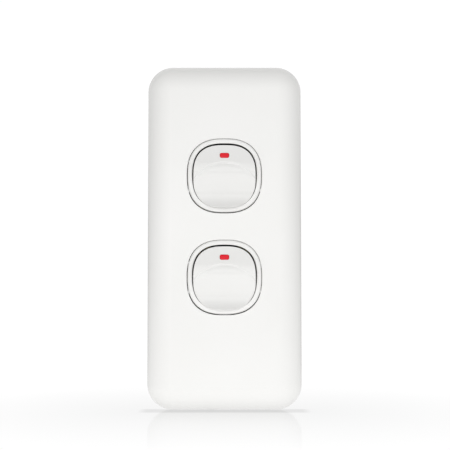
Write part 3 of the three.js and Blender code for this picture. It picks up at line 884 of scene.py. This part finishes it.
@dataclass
class MechanismFront:
    """The front of a mechanism, modelled once about the Y axis and set in both gangs.

    The pad is a row of knots: how far below the ridge, and how steeply the face falls back there.
    The roof above the ridge has a height, a slope and a curl in the same way.
    """

    paints: Paints
    front: float = -9.5
    back: float = -5.0
    ring_half: float = 12.33
    ring_power: float = 2.53
    ring_flange: float = 0.05
    ring_flange_depth: float = 0.95
    mouth: float = 10.79
    mouth_power: float = 2.6
    lip: float = 0.45
    lip_sink: float = 1.5
    lip_round: float = 0.28
    pivot: float = -7.3
    swing: float = 6.0
    trunnion: float = 1.1
    bearing: float = 1.18
    cap_half: float = 10.35
    cap_foot: float = 0.15
    cap_power: float = 2.68
    cap_edge: float = 0.14
    cap_wall: float = 1.5
    skirt: float = 0.9
    roof: tuple[float, float, float] = (1.7, 0.37, -0.004)
    pad: tuple[tuple[float, float], ...] = (
        (0.0, -0.32), (2.2, -0.08), (5.0, 0.44), (9.0, 0.42), (15.0, -1.05),
    )
    ledge_rise: float = 4.2
    ledge_radius: float = 12.5
    ledge_height: float = 0.25
    ledge_width: float = 0.8
    crease: float = 0.2
    crease_width: float = 1.5
    post: float = 5.0
    post_length: float = 7.5
    post_bore: float = 1.35
    lens_rise: float = 6.6
    lens_size: tuple[float, float] = (3.1, 1.8)
    lens_corner: float = 0.6
    lens_rim: tuple[float, float] = (1.6, 0.9)

    def bore_bearings(self, piece: bpy.types.Object, reach: float) -> None:
        """Cuts a bearing for the rocker's trunnion into both sides of a ring.

        Args:
            piece: The ring.
            reach: How far out the bearings go, in millimetres.
        """
        for side in (-1, 1):
            low, high = sorted((side * (self.mouth - 1), side * reach))
            cut_with(piece, bar(self.bearing, low, high, "X", (self.pivot, 0), 40))

    def bezel(self) -> bpy.types.Object:
        """Models the crowned ring with its funnel-shaped mouth.

        Returns:
            The ring, about the Y axis.
        """
        outer, inner, front = self.ring_half, self.mouth, self.front
        p, q = self.ring_power, self.mouth_power
        flange, step = outer + self.ring_flange, front + self.ring_flange_depth
        quarter = math.pi / 2
        rings = [
            Ring(flange, p, self.back), Ring(flange, p, step),
            Ring(outer, p, step), Ring(outer, p, front + 0.75),
        ]
        for a in (quarter * i / 6 for i in range(1, 7)):
            rings.append(Ring(
                outer - 0.62 * (1 - math.cos(a)), p, front + 0.05 + 0.7 * (1 - math.sin(a)),
            ))
        rings.append(Ring(outer - 0.85, (p + q) / 2, front))
        for a in (quarter * i / 5 for i in range(6)):
            rings.append(Ring(
                inner + self.lip_round * (1 - math.sin(a)), q,
                front + 0.03 + self.lip_round * (1 - math.cos(a)),
            ))
        rings += [
            Ring(inner, q, front + self.lip, self.lip_sink),
            Ring(inner + 0.75, q, front + self.lip + 0.3, self.lip_sink),
            Ring(inner + 0.75, q, self.back),
        ]
        piece = ring_loft(rings, True, 160)
        self.bore_bearings(piece, self.cap_half + 1.45)
        return piece

    def collar(self) -> bpy.types.Object:
        """Models a near-black rim that stands up behind the bezel's lip; seen only through the gap
        round the cap, it is painted shade there.

        Returns:
            The rim, about the Y axis.
        """
        inner, outer, ease_by = self.mouth + 0.05, self.mouth + 0.68, 0.1
        top, foot = self.front + self.lip + 0.35, self.back - 0.05
        q, sink = self.mouth_power, self.lip_sink
        piece = ring_loft([
            Ring(inner, q, foot),
            Ring(inner, q, top + ease_by, sink), Ring(inner + ease_by, q, top, sink),
            Ring(outer - ease_by, q, top, sink), Ring(outer, q, top + ease_by, sink),
            Ring(outer, q, foot),
        ], True, 128)
        self.bore_bearings(piece, outer + 0.5)
        return piece

    def cap_outline(self, angle: float) -> Vector:
        """Gives the cap's outline, a little fuller in its lower half, in millimetres."""
        point = Ring(self.cap_half, self.cap_power, 0).at(angle) * 1000
        return point * (1 + self.cap_foot / self.cap_half * ease((1.0 - point.z) / 6))

    def face_depth(self, x: float, z: float) -> float:
        """Gives the depth of the pressed rocker's face.

        Args:
            x: Across, in millimetres from the centre.
            z: Up, in millimetres from the centre.

        Returns:
            The face's y in millimetres.
        """
        height, slope, curl = self.roof
        t = z - self.ledge_rise
        proud = height - self.ledge_height
        if t > 0:
            proud -= slope * t + curl * t * t
        else:
            for (start, slope), (end, next_slope) in zip(self.pad, self.pad[1:]):
                run = min(max(-t - start, 0.0), end - start)
                proud -= slope * run + (next_slope - slope) * run * run / (end - start) / 2
        drop = self.ledge_radius - math.sqrt(max(self.ledge_radius ** 2 - x * x, 1.0))
        above = z - (self.ledge_rise - drop)
        proud += (self.ledge_height + self.crease) * ease(above / self.ledge_width + 0.5)
        proud -= self.crease * ease(1 + above / self.crease_width)
        return self.front - proud

    def cap_point(self, across: Vector) -> Vector:
        """Puts a point of the cap's outline plane on its face, in the middle of the swing.

        Args:
            across: The point, its x and z in millimetres.

        Returns:
            The point on the face, in millimetres.
        """
        angle = math.radians(self.swing)
        y = self.front - 1.0
        for _ in range(6):
            z_pressed = (y - self.pivot) * math.sin(angle) + across.z * math.cos(angle)
            y_pressed = self.face_depth(across.x, z_pressed) - self.pivot
            y = self.pivot + (y_pressed + across.z * math.sin(angle)) / math.cos(angle)
        return Vector((across.x, y, across.z))

    def cap(self) -> bpy.types.Object:
        """Models the cap from a sphere whose rings become face, edge, wall and back.

        Returns:
            The cap, in the middle of the swing.
        """
        faces, edge, wall = 96, 6, 3
        rear = self.pivot + self.skirt
        floor = self.pivot - 0.2
        last = faces + edge + wall + 3

        def place(step: int, angle: float) -> Vector:
            """Gives a point of the face, the rounded edge, the wall or the hollow back."""
            outline = self.cap_outline(angle)
            unit = outline.normalized()
            inner = self.cap_point(outline - unit * self.cap_edge)
            if step <= faces:
                share = (step / faces) * (1 - self.cap_edge / outline.length)
                return self.cap_point(outline * share)
            if step <= faces + edge:
                a = math.pi / 2 * (step - faces) / edge
                rise = Vector((0, self.cap_edge * (1 - math.cos(a)), 0))
                return inner + unit * self.cap_edge * math.sin(a) + rise
            if step <= faces + edge + wall:
                share = (step - faces - edge) / wall
                y = (inner.y + self.cap_edge) * (1 - share) + rear * share
                return Vector((outline.x, y, outline.z))
            hollow = (outline - unit * self.cap_wall) * (1.0 if step < last else 0.0)
            return Vector((hollow.x, rear if step == last - 2 else floor, hollow.z))

        return turned_by_rings(last - 1, 256, place)

    def turn_pressed(self, piece: bpy.types.Object) -> None:
        """Turns a piece about the pivot into the pressed position."""
        with editing(piece):
            bpy.ops.mesh.select_all(action="SELECT")
            bpy.ops.transform.rotate(
                value=-math.radians(self.swing), orient_axis="X",
                center_override=(0, mm(self.pivot), 0),
            )

    def rocker(self) -> bpy.types.Object:
        """Models the rocker's cap with the pocket for the indicator."""
        piece = self.cap()
        self.turn_pressed(piece)
        cut_with(piece, self.lens_body(0.05, 1.0))
        return piece

    def stem(self) -> bpy.types.Object:
        """Models the hidden part of the rocker: rib, trunnions and bored post.

        Returns:
            The stem, in the pressed position.
        """
        half, floor = self.post / 2, self.pivot - 0.1
        piece = block((-half, floor, -half), (half, self.pivot + self.post_length, half))
        cut_with(piece, block((-9.0, floor, -0.75), (9.0, self.pivot + self.skirt, 0.75)), "UNION")
        reach = self.cap_half + 1.15
        cut_with(piece, bar(self.trunnion, -reach, reach, "X", (self.pivot, 0), 40), "UNION")
        depth = (self.pivot + 0.6, self.pivot + self.post_length + 1.5)
        cut_with(piece, bar(self.post_bore, *depth, "Y", (0, 0), 40))
        finish_with(piece, "BEVEL", width=mm(0.15), segments=2, angle_limit=math.radians(40))
        self.turn_pressed(piece)
        return piece

    def lens_body(self, growth: float, depth: float) -> bpy.types.Object:
        """Makes the indicator's rounded block, square to the face where it sits.

        Args:
            growth: How much larger it is all round, in millimetres.
            depth: How far in it reaches, in millimetres.

        Returns:
            The new object.
        """
        rise = self.lens_rise
        y = self.face_depth(0, rise)
        slope = math.atan2(self.face_depth(0, rise + 0.5) - self.face_depth(0, rise - 0.5), 1.0)
        wide, tall = (size / 2 + growth for size in self.lens_size)
        piece = block((-wide, y - 0.05, rise - tall), (wide, y + depth, rise + tall))
        with editing(piece) as mesh:
            pick(mesh, "EDGE", lambda e: abs(e.verts[0].co.y - e.verts[1].co.y) > mm(0.5))
            bpy.ops.mesh.bevel(offset=mm(self.lens_corner + growth), segments=8, affect="EDGES")
            bpy.ops.mesh.select_all(action="SELECT")
            bpy.ops.transform.rotate(
                value=slope, orient_axis="X", center_override=(0, mm(y), mm(rise)),
            )
        return piece

    def lens(self) -> bpy.types.Object:
        """Models the indicator with a softly crowned front."""
        piece = self.lens_body(0.0, 1.7)
        with editing(piece) as mesh:
            pick(mesh, "FACE", lambda f: f.normal.y < -0.8)
            bpy.ops.mesh.inset(thickness=mm(0.12), depth=mm(0.06), use_even_offset=True)
            bpy.ops.mesh.inset(thickness=mm(0.2), depth=mm(0.04), use_even_offset=True)
        return piece

    def build(self) -> None:
        """Models each front piece once and sets a copy of it in each gang."""
        models = (
            (self.bezel(), "bezel_ring", Look.BEZEL, "base", "bezel", 32),
            # Painted shade: the collar takes the case's near-black finish, which darkens the gap round
            # the cap.
            (self.collar(), "painted_shade_collar", Look.CASE, "base", "", 32),
            (self.rocker(), "rocker_cap", Look.ROCKER, "", "rocker", 40),
            # Painted shade: the stem, a hidden part of the white rocker, takes the case's near-black
            # finish, which darkens what shows through the gap round the cap.
            (self.stem(), "rocker_stem", Look.CASE, "", "", 32),
            (self.lens(), "indicator_lens", Look.INDICATOR, "", "indicator", 40),
        )
        for model, name, look, body, node, sharp in models:
            for gang, place, piece in zip(GANGS, GANG_PLACES, set_at(model, GANG_PLACES)):
                finish = None
                if look is Look.INDICATOR:
                    lens_centre = (0.0, place.z + self.lens_rise)
                    finish = RedLens(lens_centre, self.lens_rim).make(f"indicator_red_{gang}")
                self.paints.complete(
                    piece, f"{name}_{gang}", look, body or f"rocker_{gang}",
                    node and f"{node}_{gang}", sharp, finish,
                )


# ---- Screws ----


@dataclass
class Screw:
    """A slotted screw along Y with a rounded head and a rolled thread, modelled once for its nodes."""

    paints: Paints
    nodes: Sequence[str]
    head_at_back: bool
    head_radius: float
    head_depth: float
    radius: float
    pitch: float
    slot_width: float
    slot_depth: float = 0.7
    point: float = 1.0
    crown: float = 0.35

    def radius_at(self, along: float, angle: float, length: float) -> float:
        """Gives the screw's radius.

        Args:
            along: The distance from the top of the head, in millimetres.
            angle: The angle round the axis, in radians.
            length: The whole length.

        Returns:
            The radius in millimetres.
        """
        if along < self.crown:
            share = 1 - along / self.crown
            return self.head_radius - self.crown * 1.6 * (1 - math.sqrt(1 - share * share))
        if along < self.head_depth:
            return self.head_radius
        turns = along / self.pitch - angle / (2 * math.pi)
        ridge = abs(2 * (turns - math.floor(turns)) - 1)
        root = self.radius * 0.78
        to_end = (length - along) / self.point
        left = min(to_end, (along - self.head_depth) / self.pitch, 1.0)
        return root * min(max(to_end, 0.45), 1.0) + (self.radius - root) * ridge * max(left, 0.0)

    def steps(self, length: float) -> list[float]:
        """Gives the distance of each ring from the top of the head, in millimetres."""
        rounds, per_pitch = 5, 8
        shank = length - self.head_depth
        rings = round(shank / self.pitch * per_pitch)
        return [
            *(self.crown * i / rounds for i in range(rounds + 1)),
            self.head_depth - 0.12,
            self.head_depth,
            *(self.head_depth + 0.01 + (shank - 0.01) * i / rings for i in range(rings + 1)),
        ]

    def build(self) -> None:
        """Builds a screw in the place of each of its CAD nodes."""
        low, high = box_mm(self.nodes[0])
        length = high.y - low.y
        steps = self.steps(length)
        top, into = (high.y, -1) if self.head_at_back else (low.y, 1)

        def place(step: int, angle: float) -> Vector:
            """Gives a point of the head or the threaded shank."""
            along = steps[min(max(step - 1, 0), len(steps) - 1)]
            hub = step == 0 or step > len(steps)
            r = 0.0 if hub else self.radius_at(along, angle, length)
            return Vector((r * math.cos(angle), top + into * along, r * math.sin(angle)))

        model = turned_by_rings(len(steps), 32, place)
        y0, y1 = sorted((top - into, top + into * self.slot_depth))
        wide, reach = self.slot_width / 2, self.head_radius + 1
        cut_with(model, block((-reach, y0, -wide), (reach, y1, wide)))
        middles = [sum(box_mm(node), Vector()) / 2 for node in self.nodes]
        places = [Vector((middle.x, middle.y - middles[0].y, middle.z)) for middle in middles]
        for node, piece in zip(self.nodes, set_at(model, places)):
            self.paints.complete(piece, f"{node}_threaded", Look.STEEL, "base", node, 40)


def build_screws(paints: Paints) -> None:
    """Builds the two fixing screws and the eight terminal screws."""
    fixing = [f"fixing_screw_{end}" for end in ("top", "bottom")]
    clamping = [f"terminal_screw_{number}_{gang}" for gang in GANGS for number in range(1, 5)]
    Screw(
        paints, fixing, head_at_back=False, head_radius=3.4, head_depth=2.0, radius=1.75, pitch=0.9,
        slot_width=0.8,
    ).build()
    Screw(
        paints, clamping, head_at_back=True, head_radius=2.0, head_depth=1.4, radius=1.3, pitch=0.6,
        slot_width=0.6,
    ).build()


# ---- Mouldings behind the cover ----


@dataclass
class CaseBack:
    """The raised detail on the back of a case: rims round the screw wells, and a cross rib."""

    paints: Paints
    rim: float = 0.55
    rise: float = 0.4
    clear: float = 0.35
    rib: float = 1.0
    arm: float = 0.8
    reach: tuple[float, float] = (9.6, 9.8)

    def build(self) -> None:
        """Models the rims and the rib as one closed piece, and stands it on both cases' backs."""
        centre = GANG_PLACES[0].z
        back = box_mm(f"case_{GANGS[0]}")[1].y + 0.02
        top, half, (wide, tall) = back + self.rise, self.rib / 2, self.reach
        model = block((-wide, back, -half), (wide, top, half))
        cut_with(model, block((-half, back, -tall), (half, top, tall)), "UNION")
        for number in range(1, 5):
            low, high = box_mm(f"terminal_screw_{number}_{GANGS[0]}")
            x, z = (low.x + high.x) / 2, (low.z + high.z) / 2 - centre
            well = (high.x - low.x) / 2 + self.clear
            ring = bar(well + self.rim, back, top, "Y", (x, z), 40)
            cut_with(ring, bar(well, back - 1, top + 1, "Y", (x, z), 40))
            cut_with(model, ring, "UNION")
            x0, x1 = sorted((0.0, math.copysign(abs(x) - well - 0.2, x)))
            arm = block((x0, back, z - self.arm / 2), (x1, top, z + self.arm / 2))
            cut_with(model, arm, "UNION")
        ease_edges(model, 0.1, 60)
        for gang, piece in zip(GANGS, set_at(model, GANG_PLACES)):
            self.paints.complete(piece, f"case_back_detail_{gang}", Look.CASE, "base", "", 25)


def build_softened(paints: Paints, node: str, look: Look, width: float) -> None:
    """Builds a copy of a moulding's CAD node with its edges eased.

    Args:
        paints: The finishes.
        node: The CAD node, on the base.
        look: Its finish.
        width: How wide the eased edges are, in millimetres.
    """
    piece = copy_of_node(node)
    ease_edges(piece, width, 50)
    paints.complete(piece, f"{node}_moulded", look, "base", node, 25)


def build_spring(paints: Paints, gang: str) -> None:
    """Builds the coil in a rocker's post, as a copy of its CAD node carried by the rocker.

    Args:
        paints: The finishes.
        gang: The gang it belongs to.
    """
    node = f"plunger_spring_{gang}"
    slide = next(joint for joint in frame["joints"] if joint["name"] == f"plunger_{gang}_slide")
    low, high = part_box(node)
    piece = copy_of_node(node)
    paints.complete(piece, f"{node}_coil", Look.SPRING, f"rocker_{gang}", node, 60)
    1 - slide["range_m"][1] / (high.y - low.y)
    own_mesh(piece)


def build_mouldings(paints: Paints) -> None:
    """Builds the grid plate, the cases with the detail on their backs, and the springs."""
    build_softened(paints, "grid_plate", Look.GRID, 0.15)
    for gang in GANGS:
        build_softened(paints, f"case_{gang}", Look.CASE, 0.2)
        build_spring(paints, gang)
    CaseBack(paints).build()


# ---- Hidden works: CAD nodes that stay, with their finishes ----

NODE_LOOKS = {
    "plunger": Look.NYLON,
    "blade_contact": Look.SILVER,
    "fixed_contact": Look.SILVER,
    "blade": Look.BRASS,
    "terminal_1": Look.BRASS,
    "terminal_2": Look.BRASS,
    "common_terminal": Look.BRASS,
    "loop_terminal": Look.BRASS,
}


def dress_nodes(paints: Paints) -> None:
    """Puts a finish on every CAD node that stays in view."""
    for node in frame["nodes"]:
        for start, look in NODE_LOOKS.items():
            if node.startswith(start):
                paints.dress_node(node, look)
                break


# ---- Stage ----


@dataclass
class Stage:
    """Floor, light and camera.

    Strengths are shares of white, reaches are in millimetres, and the foot, the strip where the plate
    nears the floor and the painted contact shadow lies, is in shares of the cover's depth.
    """

    white: float = 1.02
    floor_far: float = 0.5
    floor_key: float = 0.9
    key_ahead: float = 120.0
    key_reach: float = 300.0
    # The painted contact shadow: how far it reaches, and how much it darkens the floor's light and the
    # floor as seen.
    contact_shadow_reach: float = 3.0
    contact_shadow_lit: float = 0.15
    contact_shadow_seen: float = 0.25
    mirror: float = 0.5
    mirror_reach: float = 85.0
    foot_middle: float = 0.7
    foot_half: float = 0.3
    sky_all_round: float = 0.36
    sky_front: float = 1.52
    distance: float = 350.0
    height: float = -13.66
    pitch: float = 2.944
    lens: float = 81.7
    aside: float = 0.17

    def floor(self) -> None:
        """Lays a white floor under the plate that mirrors it faintly close by, with a painted contact
        shadow along the plate's foot.
        """
        low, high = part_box("cover_plate")
        clear_selection()
        bpy.ops.mesh.primitive_plane_add(size=6, location=(0, 0, low.z - mm(0.1)))
        piece = bpy.context.object
        piece.name = "floor"
        graph = Graph.of_material("white_floor")
        pattern = Pattern(graph)
        beside = (abs(pattern.x) - high.x).at_least(0.0)
        off_middle = abs(pattern.y - low.y * self.foot_middle)
        before = (off_middle + low.y * self.foot_half).at_least(0.0)
        away = (beside * beside + before * before) ** 0.5
        # Painted contact shadow: the floor darkens within a few millimetres of the plate's foot, both
        # as seen and in the light it gives off.
        contact_shadow = 1 - away.limited(0.0, mm(self.contact_shadow_reach))
        ahead = pattern.y + mm(self.key_ahead)
        key = 1 - ((pattern.x * pattern.x + ahead * ahead) ** 0.5).limited(0.0, mm(self.key_reach))
        camera_ray = Wire(graph, graph.add("ShaderNodeLightPath").outputs["Is Camera Ray"])
        lit = (self.floor_far + self.floor_key * key) * (1 - self.contact_shadow_lit * contact_shadow)
        seen = self.white - self.contact_shadow_seen * contact_shadow
        glow = graph.add("ShaderNodeEmission", Strength=camera_ray * seen + (1 - camera_ray) * lit)
        gloss = graph.add("ShaderNodeBsdfGlossy", Roughness=0.1)
        share = self.mirror * (1 - away.limited(0.0, mm(self.mirror_reach))) * camera_ray
        mix = graph.add("ShaderNodeMixShader", Fac=share, i1=glow.outputs[0], i2=gloss.outputs[0])
        graph.add("ShaderNodeOutputMaterial", Surface=mix.outputs[0])
        piece.data.materials.append(graph.owner)

    def sky(self) -> None:
        """Lights the object from all round, most from the front, and shows plain white behind it."""
        world = bpy.data.worlds.new("studio")
        bpy.context.scene.world = world
        graph = Graph(world)
        way = graph.add("ShaderNodeTexCoord").outputs["Generated"]
        split = graph.add("ShaderNodeSeparateXYZ", Vector=way)
        front = (Wire(graph, split.outputs["Y"]) * -1).at_least(0.0)
        strength = self.sky_all_round + self.sky_front * front * front
        white = (1.0, 1.0, 1.0, 1.0)
        lit = graph.add("ShaderNodeBackground", Color=white, Strength=strength)
        seen = graph.add("ShaderNodeBackground", Color=white, Strength=self.white)
        rays = graph.add("ShaderNodeLightPath")
        sideways = abs(Wire(graph, split.outputs["X"])).limited(0.2, 0.35)
        level = 1 - Wire(graph, split.outputs["Z"]).limited(0.05, 0.2)
        behind = Wire(graph, split.outputs["Y"]).limited(0.1, 0.4) * (1 - sideways * level)
        plain = behind * rays.outputs["Is Glossy Ray"] + rays.outputs["Is Camera Ray"]
        mix = graph.add("ShaderNodeMixShader", Fac=plain, i1=lit.outputs[0], i2=seen.outputs[0])
        graph.add("ShaderNodeOutputWorld", Surface=mix.outputs[0])

    def camera(self) -> None:
        """Stands the camera in front of the plate, a little low."""
        data = bpy.data.cameras.new("front_camera")
        data.lens = self.lens
        data.sensor_width = 36.0
        data.clip_start = 0.01
        data.dof.use_dof = False
        camera = bpy.data.objects.new("front_camera", data)
        bpy.context.scene.collection.objects.link(camera)
        camera.location = (mm(self.aside), -mm(self.distance), mm(self.height))
        camera.rotation_euler = (math.radians(90 + self.pitch), 0, 0)
        bpy.context.scene.camera = camera

    def build(self) -> None:
        """Sets the stage."""
        self.floor()
        self.sky()
        self.camera()
        bpy.context.scene.view_settings.view_transform = "Standard"
        bpy.context.scene.view_settings.look = "None"


def main() -> None:
    """Builds the switch's looks in order."""
    logging.basicConfig(level=logging.INFO, format="%(name)s: %(message)s")
    Stage().build()
    paints = Paints()
    front = MechanismFront(paints)
    CoverMoulding(paints).build(front)
    front.build()
    build_screws(paints)
    build_mouldings(paints)
    dress_nodes(paints)


if __name__ == "__main__":
    main()
